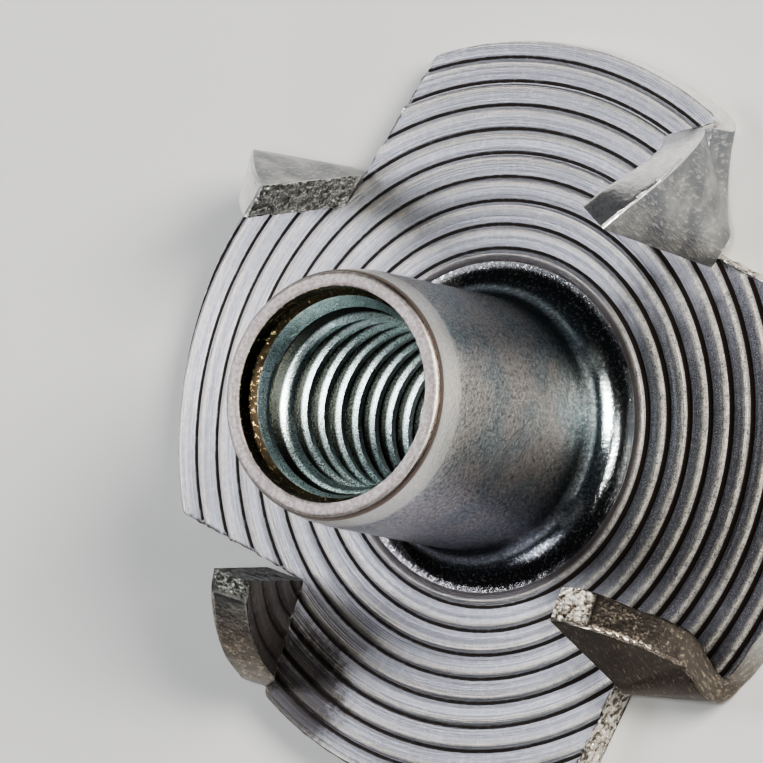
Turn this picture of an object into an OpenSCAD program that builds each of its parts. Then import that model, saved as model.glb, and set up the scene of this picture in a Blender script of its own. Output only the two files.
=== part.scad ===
// Pronged tee nut: one drawn steel stamping with a tapped barrel, a round flange with turned
// rings on its front and four prongs lanced out of the rim and folded up beside the barrel.
// Millimetres. The origin is on the barrel axis at the back face of the flange, +Z along the barrel.

/* [Thread] */
// Nominal diameter of the tapped thread
thread_d = 5; // [4:0.5:5]
// Pitch of the tapped thread
thread_pitch = 0.8; // [0.5:0.1:0.9]
// Diameter of the plain lead-in at the mouth
mouth_bore_d = 5.3; // [5.1:0.1:5.6]
// Depth of the plain lead-in
mouth_bore_depth = 0.7; // [0.3:0.1:1.5]

/* [Barrel] */
// Outside diameter of the barrel
barrel_d = 6.4; // [6.2:0.1:8]
// Height of the mouth above the front of the flange
barrel_h = 7.6; // [5:0.1:12]
// Radius rolled onto the outer edge of the mouth
mouth_round = 0.3; // [0.1:0.05:0.4]
// Radius of the hollow at the foot of the barrel
foot_radius = 0.95; // [0.4:0.05:1.2]
// Radius of the funnel that the drawing punch leaves at the back
funnel_radius = 1.1; // [0.6:0.05:1.5]

/* [Flange] */
// Diameter of the flange
flange_d = 19; // [17:0.5:24]
// Thickness of the sheet
flange_t = 1.05; // [0.8:0.05:1.3]
// Distance of the flange rim's centre from the barrel axis
rim_offset = 0.3; // [0:0.05:0.4]
// Direction of that distance
rim_offset_at = -38; // [-180:1:180]

/* [Rings] */
// Distance between neighbouring rings
ring_pitch = 0.6; // [0.5:0.05:1]
// Width of a ring groove at the face
ring_w = 0.22; // [0.1:0.02:0.3]
// Depth of a ring groove
ring_depth = 0.07; // [0.03:0.01:0.12]
// Plain land between the foot of the barrel and the first ring
ring_land = 0.35; // [0.2:0.05:0.6]

/* [Prongs] */
// Direction of the inner corner of each notch
notch_at = [44, 132, 226, 318]; // [0:1:359]
// Bend of each prong out of the flange
prong_bend = [76, 90, 90, 90]; // [70:1:92]
// Radius of the inner corner of each notch from the axis
notch_r = 7.1; // [6.6:0.1:7.4]
// Lean of the sheared edge of a notch from the radius through its inner corner
notch_lean = 64; // [60:1:68]
// Inside radius of the fold
fold_radius = 0.4; // [0.2:0.05:0.6]
// Height of the blunt prong tips above the front of the flange
prong_h = 4.0; // [2.5:0.1:4.5]

/* [Hidden] */
$fn = 96;
STEEL = [0.74, 0.75, 0.77];
// Overlap that makes the flange and each fold one solid
lap = 0.02;
// Slit that the shear leaves between a fold and the flange beside it
shear_gap = 0.04;
// Flats along each fold, and straight steps along each prong's rim edge
fold_steps = 12;
rim_steps = 24;

nut_h = flange_t + barrel_h;
barrel_r = barrel_d / 2;
rim_r = flange_d / 2;
rim_centre = rim_offset * [cos(rim_offset_at), sin(rim_offset_at)];
// Basic minor radius of an internal 60 degree thread, the wall that is left beside the screw
minor_r = (thread_d - 1.0825 * thread_pitch) / 2;
mouth_bore_r = mouth_bore_d / 2;
lead_in_h = mouth_bore_r - minor_r;
first_ring_r = barrel_r + foot_radius + ring_land;
ring_count = floor((rim_r + rim_offset - ring_w - first_ring_r) / ring_pitch) + 1;
fold_outer = fold_radius + flange_t;
fold_middle = fold_radius + flange_t / 2;
fold_z = flange_t + fold_radius;
blade_l = prong_h + flange_t;

// Quarter of a circle's corner, filling the square from the origin and left hollow beyond r
module corner_fill(r) {
    difference() {
        square(r);
        translate([r, r])
            circle(r);
    }
}

// Half section of the stamping before it is lanced, with the axis at x = 0
module half_section() {
    difference() {
        union() {
            square([flange_d, flange_t]);
            square([barrel_r, nut_h - mouth_round]);
            square([barrel_r - mouth_round, nut_h]);
            translate([barrel_r - mouth_round, nut_h - mouth_round])
                circle(mouth_round);
            translate([barrel_r, flange_t])
                corner_fill(foot_radius);
        }
        translate([-1, -1])
            square([minor_r + 1, nut_h + 2]);
        translate([minor_r, 0])
            corner_fill(funnel_radius);
        mouth_cut();
        for (i = [0 : ring_count - 1])
            translate([first_ring_r + i * ring_pitch, flange_t])
                ring_cut();
    }
}

// Plain lead-in at the mouth, coned down to the thread at its bottom
module mouth_cut() {
    polygon([
        [0, nut_h + 1],
        [mouth_bore_r, nut_h + 1],
        [mouth_bore_r, nut_h - mouth_bore_depth],
        [minor_r, nut_h - mouth_bore_depth - lead_in_h],
        [0, nut_h - mouth_bore_depth - lead_in_h]
    ]);
}

// One V groove across the front face
module ring_cut() {
    polygon([
        [-ring_w / 2, 0],
        [0, -ring_depth],
        [ring_w / 2, 0],
        [ring_w / 2, 1],
        [-ring_w / 2, 1]
    ]);
}

// Vector v turned by an angle
function turned(v, angle) = [
    v.x * cos(angle) - v.y * sin(angle),
    v.x * sin(angle) + v.y * cos(angle)
];

// Children placed at the inner corner of notch i, with x along its fold and -y along its sheared
// edge, so that the prong folds up about x
module at_notch(i) {
    rotate(notch_at[i])
        translate([notch_r, 0])
            rotate(90 - notch_lean)
                children();
}

// Centre of the flange's rim as it lies in the frame of notch i
function rim_seen(i) =
    turned(turned(rim_centre, -notch_at[i]) - [notch_r, 0], notch_lean - 90);

// Reach of the rim along the fold of notch i, at the place y across it
function rim_x(i, y) = rim_seen(i).x + sqrt(pow(rim_r, 2) - pow(y - rim_seen(i).y, 2));

// Place across the fold of notch i where its sheared edge leaves the rim
function tip_y(i) = rim_seen(i).y - sqrt(pow(rim_r, 2) - pow(rim_seen(i).x, 2));

// Height of the inside of the sheet at a length past the start of a fold
function sheet_z(length, bend) =
    let (angle = min(length / fold_middle * 180 / PI, bend))
    let (straight = length - fold_middle * angle * PI / 180)
    fold_z - fold_radius * cos(angle) + straight * sin(bend);

// Corners of one side of a fold, at radius r from its axis
function fold_side(r, bend) = [
    for (k = [0.5 : fold_steps])
        let (angle = k * bend / fold_steps)
        let (q = r / cos(bend / fold_steps / 2))
        [fold_outer - q * sin(angle), fold_z - q * cos(angle)]
];

// End of one side of a prong's section, at radius r from the fold's axis
function side_end(r, bend) = [
    fold_outer - r * sin(bend) - blade_l * cos(bend),
    fold_z - r * cos(bend) + blade_l * sin(bend)
];

// Reversed copy of a list of points
function reversed(points) = [for (k = [len(points) - 1 : -1 : 0]) points[k]];

// Section across a prong: the sheet leaves the flange, bends and stands up
module prong_section(bend) {
    polygon(concat(
        [[fold_outer, 0]],
        fold_side(fold_outer, bend),
        [side_end(fold_outer, bend), side_end(fold_radius, bend)],
        reversed(fold_side(fold_radius, bend)),
        [[fold_outer, flange_t]]
    ));
}

// Side view of prong i: sheared edge, the rim rising to meet it, and a blunt tip
module prong_outline(i) {
    sheet_l = fold_outer - tip_y(i);
    foot_x = rim_x(i, fold_outer) + lap;
    intersection() {
        polygon(concat(
            [[0, -1], [foot_x, -1]],
            [
                for (k = [0 : rim_steps])
                    let (length = sheet_l * k / rim_steps)
                    [rim_x(i, fold_outer - length) + lap, sheet_z(length, prong_bend[i])]
            ]
        ));
        translate([shear_gap, -1])
            square([flange_d, flange_t + prong_h + 1]);
    }
}

// One whole prong
module prong(i) {
    at_notch(i)
        intersection() {
            rotate([90, 0, 90])
                linear_extrude(rim_r)
                    prong_section(prong_bend[i]);
            rotate([90, 0, 0])
                linear_extrude(flange_d, center = true)
                    prong_outline(i);
        }
}

// What is lanced free of the flange at notch i, up to the start of the fold
module notch_cut(i) {
    at_notch(i)
        translate([0, fold_outer - lap, -1])
            mirror([0, 1, 0])
                cube([rim_r, flange_d, flange_t + 2]);
}

module tee_nut() {
    notches = [0 : len(notch_at) - 1];
    color(STEEL)
        intersection() {
            union() {
                difference() {
                    rotate_extrude()
                        half_section();
                    for (i = notches)
                        notch_cut(i);
                }
                for (i = notches)
                    prong(i);
            }
            translate(rim_centre)
                cylinder(h = nut_h, r = rim_r);
        }
}

tee_nut();
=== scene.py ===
import math

import bmesh
import bpy
import numpy as np
from mathutils import Matrix, Vector, noise


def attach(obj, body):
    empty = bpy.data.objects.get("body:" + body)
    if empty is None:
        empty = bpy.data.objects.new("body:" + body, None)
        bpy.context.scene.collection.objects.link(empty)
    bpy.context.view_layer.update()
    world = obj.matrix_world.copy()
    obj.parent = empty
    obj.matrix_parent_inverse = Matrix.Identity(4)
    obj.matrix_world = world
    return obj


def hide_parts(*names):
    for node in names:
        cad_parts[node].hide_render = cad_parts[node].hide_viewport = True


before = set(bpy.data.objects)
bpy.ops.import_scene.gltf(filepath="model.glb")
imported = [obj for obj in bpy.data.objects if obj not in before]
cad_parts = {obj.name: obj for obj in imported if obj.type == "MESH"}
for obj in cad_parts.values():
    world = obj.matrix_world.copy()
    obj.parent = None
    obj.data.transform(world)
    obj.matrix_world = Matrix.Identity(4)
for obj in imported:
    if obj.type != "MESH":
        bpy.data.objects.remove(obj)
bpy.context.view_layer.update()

# ---------------------------------------------------------------------------
# The ringed face: a tee nut is one blank of steel sheet, and a die has struck a
# set of worn grooves round its middle, each with a fine ridge beside it. The nut
# is zinc plated last of all, and its grooves are painted near black.
# ---------------------------------------------------------------------------

# Sizes are in millimetres and angles in degrees, as in the part's source.
sheet_t = 1.05
ring_first = 4.5
ring_pitch = 0.6
ring_depth = 0.07
ring_half = 0.11
land_drop = 0.028
ridge_from_groove = 0.17
ridge_half = 0.07
notch_at = [48.3, 134.7, 226, 318]
notch_r = [7.24, 6.51, 7.1, 7.1]


def polar(r, angle):
    """x and y at radius r and angle, in radians."""
    return np.stack([r * np.cos(angle), r * np.sin(angle)], -1)


def wander(angle, seed, size):
    """A slow drift round the circle, the same on every run."""
    dice = np.random.default_rng(seed)
    total = np.zeros_like(angle)
    for turns in range(1, 9):
        total = total + dice.normal() / turns ** 0.6 * np.cos(turns * angle + dice.uniform(0, 6.28))
    return size * total / 2.2


def relief(flat):
    """Height of the struck face at points of the blank, and how much groove and ridge is there."""
    r = np.hypot(flat[..., 0], flat[..., 1])
    angle = np.arctan2(flat[..., 1], flat[..., 0])
    ring = np.maximum(np.round((r - ring_first) / ring_pitch), 0)
    across = r - ring_first - ring * ring_pitch - wander(angle, 5, 0.014)
    worn = 1 - 0.25 * np.cos(angle + 0.6) * np.clip((r - 4) / 5, 0, 1)
    groove = np.clip(1 - (across / ring_half) ** 2, 0, 1) ** 1.3
    before = np.where(across < 0, -across, ring_pitch - across)
    ridge = np.exp(-((before - ridge_from_groove) / ridge_half) ** 2)
    shoulder = np.clip((r - 4.2) / 0.15, 0, 1)
    height = -ring_depth * worn * groove - shoulder * land_drop * (1 - ridge) * (1 - groove)
    # level close to each notch's corner, where several surfaces meet
    for notch, at_r in zip(np.radians(notch_at), notch_r):
        height = height * np.clip(np.linalg.norm(flat - polar(at_r, notch), axis=-1) / 0.3, 0, 1)
    return height, groove, ridge * shoulder


class Wire:
    """One output of a material's nodes. Arithmetic on it adds Math nodes."""

    def __init__(self, finish, socket):
        self.finish = finish
        self.socket = socket

    def maths(self, operation, first, second):
        return self.finish.node("ShaderNodeMath", {"operation": operation}, {0: first, 1: second})

    def __add__(self, other):
        return self.maths("ADD", self, other)

    def __radd__(self, other):
        return self.maths("ADD", other, self)

    def __sub__(self, other):
        return self.maths("SUBTRACT", self, other)

    def __rsub__(self, other):
        return self.maths("SUBTRACT", other, self)

    def __neg__(self):
        return self.maths("SUBTRACT", 0, self)

    def __mul__(self, other):
        return self.maths("MULTIPLY", self, other)

    def __rmul__(self, other):
        return self.maths("MULTIPLY", other, self)

    def __truediv__(self, other):
        return self.maths("DIVIDE", self, other)

    def __rtruediv__(self, other):
        return self.maths("DIVIDE", other, self)

    def __pow__(self, other):
        return self.maths("POWER", self, other)

    def __rpow__(self, other):
        return self.maths("POWER", other, self)

    def most(self, other):
        """The larger of the two."""
        return self.maths("MAXIMUM", self, other)

    def step(self, low, high):
        """0 below low, 1 above high, and smooth between them."""
        sockets = {"Value": self, "From Min": low, "From Max": high}
        return self.finish.node("ShaderNodeMapRange", {"interpolation_type": "SMOOTHSTEP"}, sockets)


class Finish:
    """A material and the nodes that make it."""

    def __init__(self, name):
        self.material = bpy.data.materials.new(name)
        self.material.use_nodes = True
        self.tree = self.material.node_tree
        self.shader = self.tree.nodes["Principled BSDF"]

    def node(self, kind, settings, sockets, output=0):
        """Adds a node, sets it up, and gives one of its outputs."""
        made = self.tree.nodes.new(kind)
        for name, value in settings.items():
            setattr(made, name, value)
        self.fill(made, sockets)
        return Wire(self, made.outputs[output])

    def fill(self, made, sockets):
        """Links or sets the sockets of a node."""
        for name, value in sockets.items():
            if isinstance(value, Wire):
                self.tree.links.new(value.socket, made.inputs[name])
            else:
                made.inputs[name].default_value = value

    def parts(self, vector):
        """The three parts of a vector."""
        first = self.node("ShaderNodeSeparateXYZ", {}, {0: vector})
        return [Wire(self, socket) for socket in first.socket.node.outputs]

    def mix(self, share, first, second):
        """The first colour where share is 0, and the second where it is 1."""
        pair = [(*c, 1) if isinstance(c, tuple) else c for c in (first, second)]
        return self.node("ShaderNodeMix", {"data_type": "RGBA"}, {0: share, 6: pair[0], 7: pair[1]}, 2)

    def speckle(self, place, scale, detail=2.0, rough=0.5):
        """Cloudy noise from 0 to 1, that many times a millimetre."""
        sockets = {"Vector": place, "Scale": scale, "Detail": detail, "Roughness": rough}
        return self.node("ShaderNodeTexNoise", {}, sockets)

    def bump(self, height, depth):
        """A normal raised by height, which is worth that depth in metres."""
        return self.node("ShaderNodeBump", {}, {"Height": height, "Distance": depth, "Strength": 1.0})


def plated(name):
    """A zinc finish, knowing its place on the blank and the marks that the press left there."""
    finish = Finish(name)
    finish.blank = finish.node("ShaderNodeAttribute", {"attribute_name": "blank"}, {}, 1)
    marks = finish.node("ShaderNodeAttribute", {"attribute_name": "marks"}, {}, 1)
    finish.groove, finish.ridge, finish.torn = finish.parts(marks)
    finish.x, finish.y, finish.z = finish.parts(finish.blank)
    finish.radius = (finish.x * finish.x + finish.y * finish.y) ** 0.5
    finish.fill(finish.shader, {"Metallic": 1.0})
    return finish


groove_black = (0.030, 0.022, 0.016)
smoke_brown = (0.055, 0.045, 0.04)
foot_shade_brown = (0.07, 0.055, 0.05)
shaded_zinc = (0.065, 0.066, 0.078)

face = plated("ringed_zinc")
cloud = face.speckle(face.blank, 0.9, 4, 0.6)
grain = face.speckle(face.blank, 22, 3, 0.6)
fine = face.speckle(face.blank, 60, 2, 0.6)
patch = face.speckle(face.blank, 5, 3, 0.6)
lines = face.node("ShaderNodeTexNoise", {"noise_dimensions": "1D"}, {
    "W": face.radius,
    "Scale": 22,
    "Detail": 3,
    "Roughness": 0.6,
})

# painted shade: one side of the flange, away from the middle, is painted darker for the dark it reflects
far = -face.y / (face.radius + 0.01)
shaded_side = (far + cloud * 0.5 - 0.25).step(0.35, 0.95) * (face.radius - 3.6).step(0, 1)
shade = face.mix(lines.step(0.35, 0.65), (0.50, 0.51, 0.57), (0.70, 0.69, 0.71))
shade = face.mix(patch.step(0.45, 0.7) * 0.5, shade, (0.80, 0.79, 0.80))
shade = face.mix(shaded_side * 0.93, shade, shaded_zinc)

# cream on the ridges, then pits, bright specks painted as glints on the shaded side, and the grooves
# painted near black
cream = face.ridge * (grain + patch * 0.6).step(0.55, 0.95)
shade = face.mix(cream * 0.85, shade, (0.86, 0.79, 0.65))
shade = face.mix(fine.step(0.55, 0.72) * 0.45, shade, (0.17, 0.16, 0.16))
# painted glints: bright specks on the shaded side
shade = face.mix((0.45 - fine).step(0, 0.1) * shaded_side * 0.7, shade, (0.62, 0.62, 0.66))
# the grooves are painted near black, darker still on the side painted in shade
dark = (face.groove * (0.72 + 0.5 * shaded_side + 0.4 * patch)).step(0.55, 0.85)
shade = face.mix(dark * 0.95, shade, groove_black)

# a smoky stain beside one bend, and all over the prong there
stain_x = -7.3
stain_y = 4.4
from_stain = ((face.x - stain_x) ** 2 + (face.y - stain_y) ** 2) ** 0.5
stain = (1.3 - from_stain + patch * 1.5).step(0, 1.0) * 0.85
stain = stain.most(face.torn)
shade = face.mix(stain * (0.82 + 0.18 * patch), shade, smoke_brown)
# painted shade: dark brown in the crease at the barrel's foot
foot = (4.42 - face.radius).step(0, 0.2)
shade = face.mix(foot * 0.85, shade, foot_shade_brown)
face.fill(face.shader, {
    "Base Color": shade,
    "Roughness": 0.26 + 0.16 * cloud + dark * 0.25 + shaded_side * 0.08,
    "Normal": face.bump(lines * 1.2 + grain * 0.5 + fine * 0.3 + patch, 0.000018),
})

# ---------------------------------------------------------------------------
# The lobes: what is left of the round flange between the four notches. Each one
# runs from the crease of its own prong to the edge where the next was sheared
# away. The rim was blanked a little off the barrel's axis.
# ---------------------------------------------------------------------------
rim_r = 9.5
rim_round = 0.05
rim_centre = 0.3 * np.array([math.cos(math.radians(-38)), math.sin(math.radians(-38))])
crease_lean = [32, 38, 43, 43]
shear_lean = [-73, -61.6, -64, -64]
lobe_columns = 88
lobe_share = np.linspace(0, 1, lobe_columns + 1)

# Rows are closest together in the grooves, and one of them passes through each notch's corner.
row_steps = [-0.16, -0.11, -0.075, -0.035, 0, 0.035, 0.075, 0.11, 0.2, 0.3, 0.37]
rows = [4.15, 4.22, 4.28]
for ring in range(10):
    rows.extend(ring_first + ring * ring_pitch + step for step in row_steps)
rows = np.array([r for r in rows if r < 9.86])
corner_row = [int(np.argmin(abs(rows - r))) for r in notch_r]
rows[corner_row] = notch_r


class Skin:
    """Gathers the surface as grids of points, to be welded into one closed mesh.

    Each point also carries its place on the flat blank, which is where it lies if none
    is given, and the marks on it: how much groove and ridge, and how torn or stained.
    """

    def __init__(self):
        self.points = []
        self.blank = []
        self.marks = []
        self.faces = []
        self.finish = []

    def add(self, points, blank, marks):
        start = len(self.points)
        self.points.extend(map(tuple, points.reshape(-1, 3)))
        self.blank.extend(map(tuple, blank.reshape(-1, 3)))
        self.marks.extend(map(tuple, marks.reshape(-1, 3)))
        return start

    def grid(self, points, finish, blank=None, marks=None):
        """Quads between the rows and columns of points."""
        rows, columns = points.shape[:2]
        blank = points if blank is None else blank
        marks = np.zeros_like(points) if marks is None else marks
        start = self.add(points, blank, marks)
        for i in range(rows - 1):
            for j in range(columns - 1):
                a = start + i * columns + j
                self.faces.append((a, a + 1, a + columns + 1, a + columns))
                self.finish.append(finish)

    def strip(self, fine, coarse, stops, finish):
        """Joins a fine row to a coarse one, which meets it only at its stops."""
        low = self.add(fine, fine, np.zeros_like(fine))
        high = self.add(coarse, coarse, np.zeros_like(coarse))
        for j in range(len(stops) - 1):
            edge = [low + i for i in range(stops[j], stops[j + 1] + 1)]
            self.faces.append(tuple(edge + [high + j + 1, high + j]))
            self.finish.append(finish)


skin = Skin()


def at_height(flat, z):
    """Points x, y with a height added."""
    return np.concatenate([flat, np.broadcast_to(z, flat.shape[:-1])[..., None]], -1)


def run_angle(r, lean, from_r):
    """How far a straight line from a corner at from_r has gone, and how far round, at radius r."""
    c = from_r * math.cos(lean)
    along = -c + np.sqrt(c * c + np.maximum(r * r - from_r * from_r, 0))
    return along, np.arctan2(along * math.sin(lean), from_r + along * math.cos(lean))


def rim_at(angle):
    """Radius where the rim's rounding starts."""
    toward = rim_centre[0] * np.cos(angle) + rim_centre[1] * np.sin(angle)
    return toward + np.sqrt((rim_r - rim_round) ** 2 - rim_centre @ rim_centre + toward ** 2)


def lobe_angle(k, r, share):
    """Direction of points at radius r, that share of the way across lobe k."""
    after = (k + 1) % 4
    first = math.radians(notch_at[k]) + run_angle(r, math.radians(crease_lean[k]), notch_r[k])[1]
    last = math.radians(notch_at[after] + 360 * (k == 3))
    last = last + run_angle(r, math.radians(shear_lean[after]), notch_r[after])[1]
    return first + share * (last - first)


def lobe_face(k):
    """Adds the face of lobe k, and gives its points on the blank and their heights."""
    stop = np.full_like(lobe_share, rim_r)
    for _ in range(60):
        stop = rim_at(lobe_angle(k, stop, lobe_share))
    r = np.minimum(rows[:, None], stop[None, :])
    flat = polar(r, lobe_angle(k, r, lobe_share[None, :]))
    height, groove, ridge = relief(flat)
    marks = np.stack([groove, ridge, np.zeros_like(groove)], -1)
    skin.grid(at_height(flat, sheet_t + height), face, at_height(flat, height), marks)
    return flat, height


# ---------------------------------------------------------------------------
# The prongs: corners of the same sheet, sheared free along one side and folded
# up. Each one wraps a cone whose point is its notch's corner, so that the bend
# opens out towards the rim, and each was bent and twisted a little differently.
# ---------------------------------------------------------------------------
bend_zone = 34
prong_bend = [70, 92, 118, 57]
prong_curl = [58, 18, 0, 80]
prong_swing = [42, 31, 35, 47]
prong_trim = [0.95, 0.9, 0.9, 1.0]
tip_trim = 0.04
stained_prong = 1
bend_columns = 24
prong_columns = 36
fold_steps = 600


def fold_frames(k):
    """Directions along and out of the sheet of prong k, turn by turn about its corner."""
    whole = crease_lean[k] - shear_lean[k]
    step = math.radians(whole) / fold_steps
    start = math.radians(crease_lean[k])
    along = np.array([math.cos(start), math.sin(start), 0.0])
    across = np.array([math.sin(start), -math.cos(start), 0.0])
    out = np.array([0.0, 0.0, 1.0])
    turned = [0.0]
    frames = [np.concatenate([along, out])]
    for i in range(fold_steps):
        at = (i + 0.5) / fold_steps * whole
        if at < bend_zone:
            curl = prong_bend[k] / bend_zone * (1 - math.cos(2 * math.pi * at / bend_zone))
        else:
            curl = prong_curl[k] / (whole - bend_zone)
        along, across, out = (
            along + across * step,
            across + (curl * out - along) * step,
            out - curl * across * step,
        )
        along /= np.linalg.norm(along)
        across -= along * (across @ along)
        across /= np.linalg.norm(across)
        out = np.cross(across, along)
        out /= np.linalg.norm(out)
        done = min((i + 1) / fold_steps * whole / bend_zone, 1)
        swung = Matrix.Rotation(math.radians(prong_swing[k]) * done * done * (3 - 2 * done), 3, "Z")
        turned.append((i + 1) / fold_steps * whole)
        frames.append(np.concatenate([swung @ Vector(along), swung @ Vector(out)]))
    return np.array(turned), np.array(frames)


class Prong:
    """A prong, as a fan about its notch's corner, from the crease to its sheared edge."""

    def __init__(self, k):
        self.start = math.radians(notch_at[k])
        self.crease = math.radians(crease_lean[k])
        self.shear = math.radians(shear_lean[k])
        self.corner = polar(notch_r[k], np.array(self.start))
        self.turned, self.frames = fold_frames(k)

        # how far it reaches at each lean: to the rim, less where it was cut or broke short
        bend_end = self.crease - math.radians(bend_zone)
        self.lean = np.concatenate([
            np.linspace(self.crease, bend_end, bend_columns + 1),
            np.linspace(bend_end, self.shear, prong_columns + 1)[1:],
        ])
        away = self.corner - rim_centre
        b = polar(np.ones_like(self.lean), self.lean + self.start) @ away
        limit = -b + np.sqrt(b * b - away @ away + (rim_r - rim_round) ** 2)
        across = (self.crease - self.lean) / (self.crease - self.shear)
        short = (1 - prong_trim[k]) * np.clip(across / 0.5 - 1, 0, 1)
        limit *= 1 - short - tip_trim * np.clip(across * 12 - 11, 0, 1)
        crease_run = run_angle(rows[corner_row[k]:], self.crease, notch_r[k])[0]
        self.reach = np.minimum(crease_run / limit[0], 1)[:, None] * limit[None, :]
        self.leans = np.broadcast_to(self.lean, self.reach.shape)

        flat = self.unfold(self.reach, self.leans)
        self.lift, groove, ridge = relief(flat)
        stained = np.clip(np.arange(len(self.lean)) / bend_columns, 0, 1) * (k == stained_prong)
        marks = np.stack([groove, ridge, np.broadcast_to(stained, groove.shape)], -1)
        skin.grid(self.fold(self.reach, self.leans, self.lift), face, at_height(flat, self.lift), marks)

    def fold(self, reach, lean, height):
        """Where points at that reach and lean from the corner lie, once folded."""
        at = math.degrees(self.crease) - np.degrees(lean)
        f = np.stack([np.interp(at, self.turned, self.frames[:, c]) for c in range(6)], -1)
        local = reach[..., None] * f[..., :3] + height[..., None] * f[..., 3:]
        c, s = math.cos(self.start), math.sin(self.start)
        world = np.concatenate([local[..., :2] @ np.array([[c, s], [-s, c]]), local[..., 2:]], -1)
        return world + np.array([self.corner[0], self.corner[1], sheet_t])

    def unfold(self, reach, lean):
        """The same points on the flat blank."""
        return self.corner + polar(reach, lean + self.start)


# ---------------------------------------------------------------------------
# The back: plain plated sheet, lightly scratched by tumbling in the plating drum,
# with the mouth of the funnel in its middle. One prong's back is painted dark brown
# as shade, with gold specks as painted glints.
# ---------------------------------------------------------------------------
minor_r = 2.067
funnel_r = 1.1
first_corner = min(corner_row)
back_rows = sorted({
    *range(0, first_corner, 6),
    *corner_row,
    *range(first_corner, len(rows), 3),
    len(rows) - 1,
})
back_lobe = list(range(0, lobe_columns + 1, 2))
back_prong = list(range(0, bend_columns + prong_columns + 1, 2))

back = plated("back_zinc")
cloud = back.speckle(back.blank, 0.9, 3)
scratch_way = (4.0, 9.0, 1.5)
drawn_out = back.node("ShaderNodeVectorMath", {"operation": "MULTIPLY"}, {0: back.blank, 1: scratch_way})
grain = back.speckle(drawn_out, 2.2, 4, 0.7)
sheet = back.mix(cloud.step(0.35, 0.7), (0.26, 0.27, 0.29), (0.52, 0.515, 0.50))
sheet = back.mix(grain.step(0.5, 0.66) * 0.4, sheet, (0.86, 0.85, 0.82))
# painted shade: one prong's back is painted dark brown, its lighter gold specks painted glints
shaded_back = (-back.x).step(1.5, 3.0) * (-back.y).step(0.5, 2.0) * back.z.step(0.2, 1.0)
umber = back.mix(grain.step(0.54, 0.72), (0.065, 0.05, 0.038), (0.34, 0.27, 0.18))
sheet = back.mix(shaded_back * 0.92, sheet, umber)
back.fill(back.shader, {
    "Base Color": sheet,
    "Roughness": 0.28 + 0.2 * grain,
    "Normal": back.bump(grain, 0.000025),
})


def sheet_back(k, lobe, prong):
    """Adds the back of lobe k, as far in as the funnel's mouth, and of its prong."""
    under = at_height(lobe[np.ix_(back_rows, back_lobe)], 0.0)
    skin.grid(under, back)
    inner = lobe_angle(k, rows[:1], lobe_share)[back_lobe]
    throat = at_height(polar(minor_r + funnel_r, inner), 0.0)
    skin.grid(np.stack([throat, under[0]]), back)
    cut = np.ix_([i - corner_row[k] for i in back_rows if i >= corner_row[k]], back_prong)
    reach = prong.reach[cut]
    skin.grid(prong.fold(reach, prong.leans[cut], np.full(reach.shape, -sheet_t)), back)


# ---------------------------------------------------------------------------
# The edges: dark, rough steel where the sheet was sheared, its torn facets painted
# bright on one side as a highlight and flecked with painted glints, and a smoother,
# slightly rounded rim where it was blanked, painted dark brown as shade with gold
# glints on one side. They took little zinc.
# ---------------------------------------------------------------------------
depths = np.array([0, 0.025, 0.07, 0.15, 0.28, 0.42, 0.56, 0.7, 0.83, 0.94, 1.01, sheet_t])
rounding = 0.15
sheared_run = 4.0
calm_run = 0.35

edge = plated("sheared_zinc")
facets = {"Vector": edge.blank, "Scale": 9.0}
chips = edge.node("ShaderNodeTexVoronoi", {"feature": "F1"}, facets, "Distance")
grain = edge.speckle(edge.blank, 14, 3, 0.65)
rough = edge.speckle(edge.blank, 5, 4, 0.65)
steel = edge.mix(rough.step(0.38, 0.62), (0.12, 0.125, 0.11), (0.44, 0.44, 0.41))
# painted highlight: on one side the sheared edges are painted bright
bright = edge.mix(rough.step(0.4, 0.55), (0.16, 0.13, 0.10), (0.96, 0.92, 0.84))
steel = edge.mix((-edge.y).step(0, 1), steel, bright)
rim = edge.mix(rough.step(0.4, 0.6), (0.84, 0.83, 0.83), (0.97, 0.96, 0.95))
# painted shade: on one side the rim is painted dark brown, its gold specks painted glints
brown = edge.mix((rough * 0.5 + grain * 0.5).step(0.5, 0.66), (0.09, 0.068, 0.05), (0.42, 0.35, 0.24))
rim = edge.mix((-edge.x).step(2.5, 5.5) * 0.9, rim, brown)
steel = edge.mix(1 - edge.torn, steel, rim)
# painted glints: bright specks on the edges, most where they were sheared
steel = edge.mix(grain.step(0.6, 0.72) * (0.2 + 0.5 * edge.torn), steel, (0.92, 0.90, 0.86))
edge.fill(edge.shader, {
    "Base Color": steel,
    "Roughness": 0.2 + 0.2 * grain,
    "Normal": edge.bump((grain + rough * 2 + chips * 1.5) * (0.06 + edge.torn), 0.00005),
})


def torn_end(prong):
    """Adds the end of the bend, where the sheet tore at the notch's corner."""
    turn = prong.lean[back_prong]
    shape = (len(depths), len(turn))
    level = prong.lift[0, 0] * (1 - depths / sheet_t) - depths
    tear = prong.fold(np.zeros(shape), np.broadcast_to(turn, shape), np.broadcast_to(level[:, None], shape))
    skin.grid(tear, edge)


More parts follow.
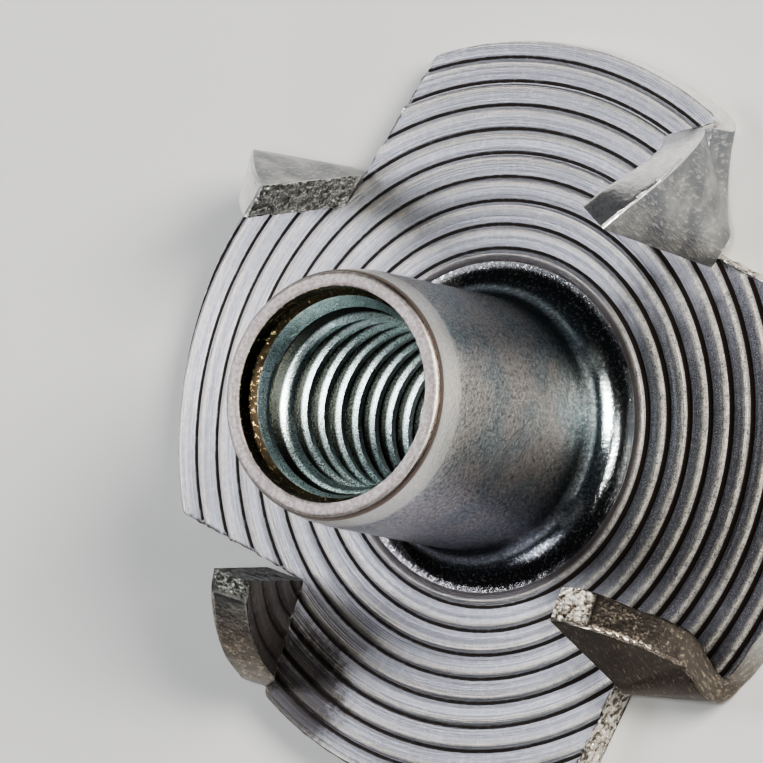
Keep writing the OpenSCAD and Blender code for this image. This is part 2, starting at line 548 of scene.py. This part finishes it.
def edge_path(k, lobe, height, prong):
    """The edge's points in order: up the prong's sheared side, round the rim, and down the lobe's.

    For each: its place on the blank, its lean on the prong, whether it is on the prong, how high the
    face is there, and whether the back has a point under it.
    """
    last_row = len(prong.reach) - 1
    last_lean = len(prong.lean) - 1
    path = []
    for i in range(last_row + 1):
        flat = prong.unfold(prong.reach[i, -1], prong.lean[-1])
        path.append((*flat, prong.lean[-1], 1, prong.lift[i, -1], i + corner_row[k] in back_rows))
    for j in range(last_lean - 1, -1, -1):
        flat = prong.unfold(prong.reach[-1, j], prong.lean[j])
        path.append((*flat, prong.lean[j], 1, prong.lift[-1, j], j in back_prong))
    for j in range(1, lobe_columns + 1):
        path.append((*lobe[-1, j], 0, 0, height[-1, j], j in back_lobe))
    for i in range(len(rows) - 2, corner_row[(k + 1) % 4] - 1, -1):
        path.append((*lobe[i, -1], 0, 0, height[i, -1], i in back_rows))
    path = np.array(path, dtype=float)

    # past the rim the rows fall on one point: keep the first, and let the back meet it at both tips
    gap = np.linalg.norm(np.diff(path[:, :2], axis=0), axis=1)
    keep = [0] + [i + 1 for i in range(len(gap)) if gap[i] > 1e-6]
    for tip in (last_row, last_row + last_lean + lobe_columns):
        if tip not in keep:
            path[max(i for i in keep if i < tip), 5] = 1
    keep[-1] = len(path) - 1
    path = path[keep]
    return path[:, :2], path[:, 2], path[:, 3] > 0, path[:, 4], path[:, 5] > 0


def edge_wall(k, lobe, height, prong):
    """Adds the sheet's edge from one notch's corner to the next."""
    plan, lean, on_prong, face_height, meets_back = edge_path(k, lobe, height, prong)
    ahead = np.roll(plan, -1, 0) - plan
    ahead[-1] = ahead[-2]
    behind = plan - np.roll(plan, 1, 0)
    behind[0] = behind[1]
    heading = ahead / np.linalg.norm(ahead, axis=1)[:, None]
    heading = heading + behind / np.linalg.norm(behind, axis=1)[:, None]
    heading /= np.linalg.norm(heading, axis=1)[:, None]
    outward = np.stack([heading[:, 1], -heading[:, 0]], -1)
    run = np.concatenate([[0], np.cumsum(np.linalg.norm(ahead[:-1], axis=1))])
    from_corner = np.minimum(run, run[-1] - run)
    sheared = from_corner < sheared_run
    calm = np.clip(from_corner / calm_run, 0, 1)

    # past its sheared edge, the prong's wall stands straight out from the fold
    side, face_out = [
        prong.fold(np.array(a), np.array(prong.shear), np.array(b))
        - prong.fold(np.array(0.0), np.array(prong.shear), np.array(0.0))
        for a, b in ((1.0, 0.0), (0.0, 1.0))
    ]
    aside = np.cross(face_out, side)

    wall = []
    blank = []
    for d in depths:
        push = np.zeros(len(plan))
        if 0 < d < sheet_t:
            swell = math.sqrt(max(0, 1 - (max(0, rounding - min(d, sheet_t - d)) / rounding) ** 2))
            coarse = np.array([noise.noise(Vector((s * 3.2, d * 2.5, 7.3 * k))) for s in run])
            small = np.array([noise.noise(Vector((s * 9, d * 7, 3 * k))) for s in run])
            rough = coarse + 0.7 * small
            push = np.where(sheared, 0.01 + 0.06 * rough, rim_round * swell + 0.012 * rough) * calm
        moved = plan + outward * push[:, None]
        level = face_height * (1 - d / sheet_t) - d
        off = moved - prong.corner
        length = np.linalg.norm(off, axis=1)
        spot = np.arctan2(off[:, 1], off[:, 0]) - prong.start
        spot = (spot + math.pi) % (2 * math.pi) - math.pi
        spot = np.where(length < 1e-9, lean, np.clip(spot, prong.shear - 0.3, prong.crease))
        past = np.minimum(spot - prong.shear, 0)
        folded = prong.fold(length * np.cos(past), np.maximum(spot, prong.shear), level)
        folded = folded - aside * (length * np.sin(past))[:, None]
        wall.append(np.where(on_prong[:, None], folded, at_height(moved, sheet_t + level)))
        blank.append(at_height(moved, -d))
    wall = np.array(wall)
    blank = np.array(blank)
    marks = np.zeros_like(wall)
    marks[..., 2] = sheared
    skin.grid(wall[:-1], edge, blank[:-1], marks[:-1])
    stops = list(np.flatnonzero(meets_back))
    skin.strip(wall[-2], wall[-1][stops], stops, edge)


for k in range(4):
    lobe, height = lobe_face(k)
    prong = Prong(k)
    sheet_back(k, lobe, prong)
    torn_end(prong)
    edge_wall(k, lobe, height, prong)

# ---------------------------------------------------------------------------
# The barrel: drawn up from the middle of the sheet, satin from the draw, tinted
# blue and straw by the passivation, and turned square at the mouth. A hollow
# runs round its foot, painted dark there as shade, and a dark brown band is painted
# round the lip's outer corner.
# ---------------------------------------------------------------------------
barrel_r = 3.2
foot_r = 0.95
nut_h = 8.65
taper_from = 7.3
mouth_bore_r = 2.65
mouth_bore_z = 8.2
major_r = 2.5
lip_r = 2.93

barrel = plated("drawn_zinc")
cloud = barrel.speckle(barrel.blank, 0.7, 3)
grain = barrel.speckle(barrel.blank, 12, 5, 0.8)
gold = barrel.speckle(barrel.blank, 9, 3, 0.7)
tint = barrel.mix(cloud.step(0.4, 0.62), (0.66, 0.65, 0.64), (0.46, 0.54, 0.58))
# darker and bluer towards the foot
tint = barrel.mix((3.4 - barrel.z).step(0, 1.8) * 0.7, tint, (0.30, 0.42, 0.46))
# painted reflection: a lavender tint on one side of the barrel
tint = barrel.mix((-barrel.x).step(0.6, 2.6) * 0.5, tint, (0.44, 0.40, 0.52))
# painted shade: dark brown in the hollow round the foot
tint = barrel.mix((1.4 - barrel.z).step(0, 0.3) * 0.8, tint, foot_shade_brown)
tint = barrel.mix(grain.step(0.53, 0.62) * 0.7, tint, (0.95, 0.94, 0.90))
tint = barrel.mix((0.48 - grain).step(0, 0.06) * 0.75, tint, (0.20, 0.19, 0.19))

# from the bottom of the mouth up: a painted highlight, a dark brown band at the lip's outer corner, the
# lip, and the bore in painted shade
tint = barrel.mix((barrel.z - 7.72).step(0, 0.12) * 0.6, tint, (0.98, 0.96, 0.92))
# a dark brown band painted round the lip's outer corner
corner_band = (barrel.z - 8.4).step(0, 0.06) * (8.63 - barrel.z).step(0, 0.04)
corner_band = corner_band * (barrel.radius - 2.8).step(0, 0.05)
tint = barrel.mix(corner_band * 0.85, tint, (0.11, 0.065, 0.045))
lip = (barrel.z - 8.6).step(0, 0.03)
lip_tint = barrel.mix(gold.step(0.4, 0.6), (0.34, 0.27, 0.24), (0.58, 0.52, 0.49))
tint = barrel.mix(lip * (0.6 + 0.4 * gold), tint, lip_tint)
# painted shade: the mouth's bore is near black, with gold specks as painted glints
inner = (2.69 - barrel.radius).step(0, 0.03)
bore_shade = barrel.mix(gold.step(0.55, 0.7), (0.06, 0.045, 0.03), (0.80, 0.66, 0.36))
tint = barrel.mix(inner, tint, bore_shade)
satin = grain * (0.25 + 0.75 * (barrel.z - 1.6).step(0, 1))
barrel.fill(barrel.shader, {
    "Base Color": tint,
    "Roughness": 0.10 + 0.10 * cloud + lip * 0.26,
    "Normal": barrel.bump(satin + gold * (inner * 2 + lip), 0.000015),
})

# The turned outline, radius and height, from the foot to the start of the thread.
outline = []
for turn in np.radians(np.linspace(0, 90, 12)):
    outline.append((barrel_r + foot_r * (1 - math.sin(turn)), sheet_t + foot_r * (1 - math.cos(turn))))
for z in np.linspace(2.4, 7.2, 8):
    outline.append((barrel_r, z))
for z in np.linspace(7.4, 8.42, 7):
    outline.append((barrel_r - 0.1 * ((z - taper_from) / 1.1) ** 2, z))
for turn in np.radians([20, 40, 58, 74, 90]):
    outline.append((lip_r + 0.17 * math.cos(turn), nut_h - 0.22 + 0.22 * math.sin(turn)))
for r in (2.88, 2.77):
    outline.append((r, nut_h - 0.012 * (2.96 - r)))
outline += [(2.695, 8.645), (2.665, 8.62), (mouth_bore_r, 8.56), (mouth_bore_r, 8.24), (2.642, 8.2)]
for r in (2.61, 2.56, 2.515):
    outline.append((r, mouth_bore_z - (mouth_bore_r - r)))

around = np.concatenate([lobe_angle(k, rows[:1], lobe_share)[:-1] for k in range(4)])
around = np.append(around, around[0] + 2 * math.pi)
out_of_round = range(24, 36)
dented = range(28, 35)
turned_rows = []
for i, (r, z) in enumerate(outline):
    out = wander(around, 31, 0.012) if i in out_of_round else 0 * around
    dip = wander(around, 32, 0.012) if i in dented else 0 * around
    turned_rows.append(at_height(polar(r + out, around), z - abs(dip)))
turned_rows = np.array(turned_rows)
turned_rows[0, :, 2] = sheet_t + relief(turned_rows[0, :, :2])[0]
skin.grid(turned_rows, barrel)

# ---------------------------------------------------------------------------
# The thread: tapped M5, in blue-clear zinc on the crests, its roots painted near
# black as shade. Its rows follow the helix, and stop level at the lead-in and in
# the funnel, the rounded throat that the drawing punch left at the back.
# ---------------------------------------------------------------------------
thread_pitch = 0.8
lead_in = 1.0
low = 0.2
high = mouth_bore_z - (mouth_bore_r - major_r)

thread = plated("tapped_zinc")
grain = thread.speckle(thread.blank, 24, 3, 0.6)
# painted shade: the thread's roots are near black with brown specks, the crests blue-clear zinc
metal = thread.mix(thread.groove.step(0.16, 0.34), (0.66, 0.77, 0.78), (0.050, 0.056, 0.050))
metal = thread.mix((grain * 1.4 * thread.groove).step(0.5, 1), metal, (0.10, 0.09, 0.07))
thread.fill(thread.shader, {
    "Base Color": metal,
    "Roughness": 0.18 + 0.2 * grain,
    "Normal": thread.bump(grain, 0.000010),
})

wide = around[::2]
phases = np.array([-0.35, -0.3, -0.21, -0.12, -0.05, 0.05, 0.12, 0.21, 0.3, 0.35]) / thread_pitch
per_turn = len(phases)
turns = int((high - low) / thread_pitch) + 4
climb = np.concatenate([n + phases for n in range(-1, turns)]) * thread_pitch - thread_pitch
z = low + climb[:, None] + thread_pitch * (wide[None, :] - wide[0]) / (2 * math.pi)
level = np.clip(z, low, high)
phase = (climb[:, None] + 0 * wide[None, :]) / thread_pitch + (level - z) / thread_pitch
apart = abs((phase + 0.5) % 1 - 0.5) * thread_pitch
groove = np.clip(major_r - (apart - 0.05) * 1.732, minor_r, major_r)
bore = np.maximum(minor_r, minor_r + (level - (high - lead_in)) * (major_r - minor_r) / lead_in)
hollow = funnel_r ** 2 - (funnel_r - np.minimum(level, funnel_r)) ** 2
bore = np.maximum(bore, minor_r + funnel_r - np.sqrt(hollow))
r = np.maximum(bore, groove)
spiral = at_height(polar(r, np.broadcast_to(wide, r.shape)), level)
# each row ends where the row one turn up begins
spiral[:-per_turn, -1] = spiral[per_turn:, 0]
spiral[-per_turn:, -1] = spiral[-1, 0]
cut_depth = np.clip((r - bore) / np.maximum(major_r - bore, 0.1), 0, 1)
skin.grid(spiral, thread, None, np.stack([cut_depth, 0 * r, 0 * r], -1))
ledge = at_height(polar(major_r + 0 * wide, wide), high)
skin.strip(turned_rows[-1], ledge, list(range(0, len(around), 2)), barrel)

funnel = []
for z in (low, 0.12, 0.06, 0.02, 0):
    r = minor_r + funnel_r - math.sqrt(funnel_r ** 2 - (funnel_r - z) ** 2)
    funnel.append(at_height(polar(r + 0 * wide, wide), z))
skin.grid(np.array(funnel), back)

# ---------------------------------------------------------------------------
# The whole nut: sheet, prongs, barrel and thread are one piece of steel, so the
# surfaces above are welded into one closed mesh, with a finish for each of them.
# ---------------------------------------------------------------------------
finishes = [face, barrel, edge, thread, back]
mesh = bpy.data.meshes.new("tee_nut_steel")
mesh.from_pydata([tuple(0.001 * c for c in p) for p in skin.points], [], skin.faces)
for name, values in (("blank", skin.blank), ("marks", skin.marks)):
    layer = mesh.attributes.new(name, "FLOAT_VECTOR", "POINT")
    layer.data.foreach_set("vector", np.array(values, dtype=np.float32).ravel())
mesh.polygons.foreach_set("material_index", [finishes.index(f) for f in skin.finish])
work = bmesh.new()
work.from_mesh(mesh)
bmesh.ops.remove_doubles(work, verts=work.verts, dist=4e-7)
bmesh.ops.dissolve_degenerate(work, edges=work.edges, dist=1e-7)
bmesh.ops.recalc_face_normals(work, faces=work.faces)
work.to_mesh(mesh)
work.free()
mesh.polygons.foreach_set("use_smooth", [True] * len(mesh.polygons))
mesh.set_sharp_from_angle(angle=math.radians(48))
for finish in finishes:
    mesh.materials.append(finish.material)
nut = bpy.data.objects.new("tee_nut_steel", mesh)
bpy.context.collection.objects.link(nut)
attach(nut, "root")
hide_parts("tee_nut")

# ---------------------------------------------------------------------------
# The floor: a pale, faintly mottled sheet of studio paper, much wider than the
# view. The nut stands on its back in the middle of it.
# ---------------------------------------------------------------------------
floor_half = 3.0
corners = [(-floor_half, -floor_half, 0), (floor_half, -floor_half, 0)]
corners += [(floor_half, floor_half, 0), (-floor_half, floor_half, 0)]
floor_mesh = bpy.data.meshes.new("studio_floor")
floor_mesh.from_pydata(corners, [], [(0, 1, 2, 3)])
floor = bpy.data.objects.new("studio_floor", floor_mesh)
bpy.context.collection.objects.link(floor)
paper = Finish("pale_paper")
mottle = paper.node("ShaderNodeTexNoise", {}, {"Scale": 60.0, "Detail": 3.0})
paper.fill(paper.shader, {
    "Base Color": paper.mix(mottle, (0.60, 0.60, 0.59), (0.64, 0.64, 0.63)),
    "Roughness": 0.8,
})
floor_mesh.materials.append(paper.material)

# ---------------------------------------------------------------------------
# The lights: a warm key from the barrel's bright side, a small cool one across
# the foot, one that looks down the bore, and a weak fill under a dim sky.
# ---------------------------------------------------------------------------


def toward(direction, elevation):
    """A unit vector that way round and that far up, in degrees."""
    d, e = math.radians(direction), math.radians(elevation)
    return Vector((math.cos(e) * math.cos(d), math.cos(e) * math.sin(d), math.sin(e)))


def soft_box(name, direction, elevation, distance, size, power, colour):
    """An area light that faces the nut, at a distance in metres."""
    light = bpy.data.lights.new(name, "AREA")
    light.shape = "RECTANGLE"
    light.size, light.size_y = size
    light.energy = power
    light.color = colour
    lamp = bpy.data.objects.new(name, light)
    away = toward(direction, elevation)
    lamp.location = away * distance
    lamp.rotation_euler = away.to_track_quat("Z", "Y").to_euler()
    bpy.context.collection.objects.link(lamp)


soft_box("key_box", 295, 38, 0.30, (0.10, 0.10), 0.9, (1.0, 0.96, 0.90))
soft_box("sky_box", 86, 44, 0.14, (0.05, 0.08), 0.075, (0.93, 0.94, 1.0))
soft_box("bore_box", 268, 66, 0.30, (0.04, 0.04), 0.30, (1.0, 1.0, 0.98))
soft_box("fill_box", 190, 30, 0.40, (0.12, 0.12), 0.12, (0.95, 0.98, 1.0))

world = bpy.data.worlds.new("studio_air")
world.use_nodes = True
world.node_tree.nodes["Background"].inputs["Color"].default_value = (0.80, 0.84, 0.90, 1)
world.node_tree.nodes["Background"].inputs["Strength"].default_value = 0.07
bpy.context.scene.world = world
bpy.context.scene.view_settings.look = "AgX - High Contrast"

# ---------------------------------------------------------------------------
# The camera: a very long lens held over the barrel's mouth, leaning on its side,
# as a macro stand would hold it.
# ---------------------------------------------------------------------------
aim = Vector((0.00067, 0.0034, 0.00105))
aim_distance = 0.355
lens = bpy.data.cameras.new("long_lens")
lens.lens = 669.2
lens.sensor_width = 36
lens.clip_start = 0.02
camera = bpy.data.objects.new("long_lens", lens)
away = toward(268, 57.87)
roll = Matrix.Rotation(math.radians(-78.2), 4, "Z")
turn = away.to_track_quat("Z", "Y").to_matrix().to_4x4() @ roll
camera.matrix_world = Matrix.Translation(aim + away * aim_distance) @ turn
bpy.context.collection.objects.link(camera)
bpy.context.scene.camera = camera
